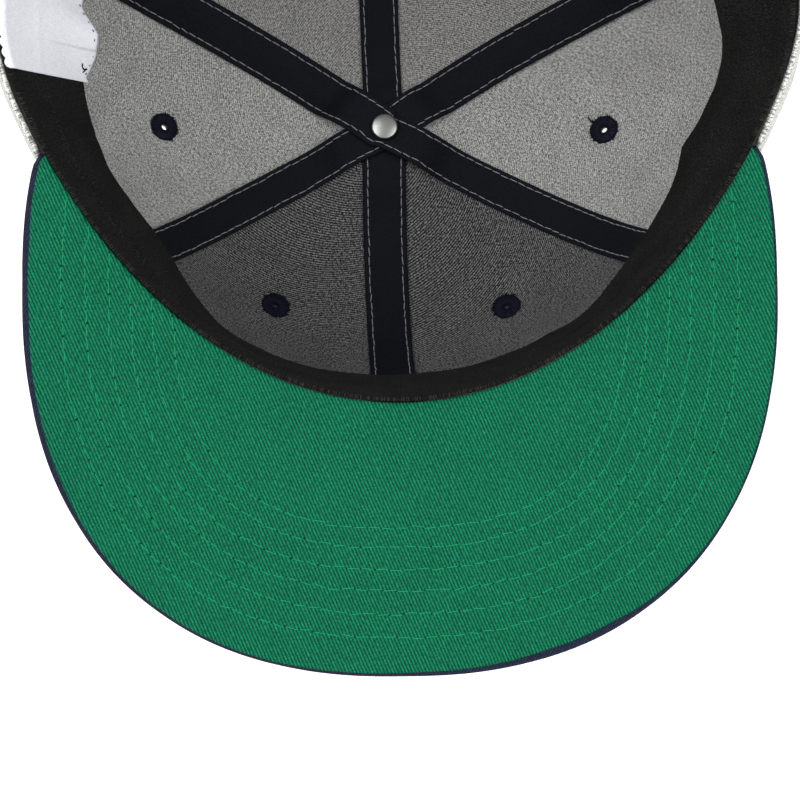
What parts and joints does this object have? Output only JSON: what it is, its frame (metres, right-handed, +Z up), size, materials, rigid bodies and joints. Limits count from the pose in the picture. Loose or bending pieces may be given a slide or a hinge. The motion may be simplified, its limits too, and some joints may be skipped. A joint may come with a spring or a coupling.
{
  "type": "snapback cap",
  "caption": "Structured snapback cap lying upside down on its crown, with a nearly flat brim, taped seams inside, sweatband, crown rivet and snap strap over a back arch.",
  "frame": {"origin": "on the ground it rests on, under the middle of its outer box", "axes": "+Z up out of the open crown, -Y towards the tip of the brim, +X to the right in the picture"},
  "size_m": [0.2066, 0.2536, 0.1332],
  "materials": {
    "heather_twill": "brushed light grey heather wool-blend twill",
    "backing_twill": "dark grey heather backing twill",
    "seam_tape": "black-navy cotton tape",
    "navy_thread": "navy embroidery thread",
    "navy_twill": "navy twill",
    "rivet_steel": "nickel-plated, soft satin polish",
    "green_twill": "green cotton twill",
    "black_twill": "black cotton twill",
    "label_satin": "white satin ribbon, blank",
    "strap_plastic": "satin moulded plastic"
  },
  "bodies": {
    "root": {"crown_panel_front_right": "heather_twill", "crown_panel_side_right": "heather_twill", "crown_panel_back_right": "heather_twill", "crown_panel_back_left": "heather_twill", "crown_panel_side_left": "heather_twill", "crown_panel_front_left": "heather_twill", "front_backing_right": "backing_twill", "front_backing_left": "backing_twill", "seam_tape_front_to_back": "seam_tape", "seam_tape_right_back_to_left_front": "seam_tape", "seam_tape_left_back_to_right_front": "seam_tape", "eyelet_front_right": "navy_thread", "eyelet_side_right": "navy_thread", "eyelet_back_right": "navy_thread", "eyelet_back_left": "navy_thread", "eyelet_side_left": "navy_thread", "eyelet_front_left": "navy_thread", "top_button": "navy_twill", "button_rivet": "rivet_steel", "brim_top": "navy_twill", "brim_underside": "green_twill", "sweatband": "black_twill", "size_label": "label_satin", "snap_strap": "strap_plastic", "back_arch_binding": "navy_twill"}
  },
  "joints": []
}
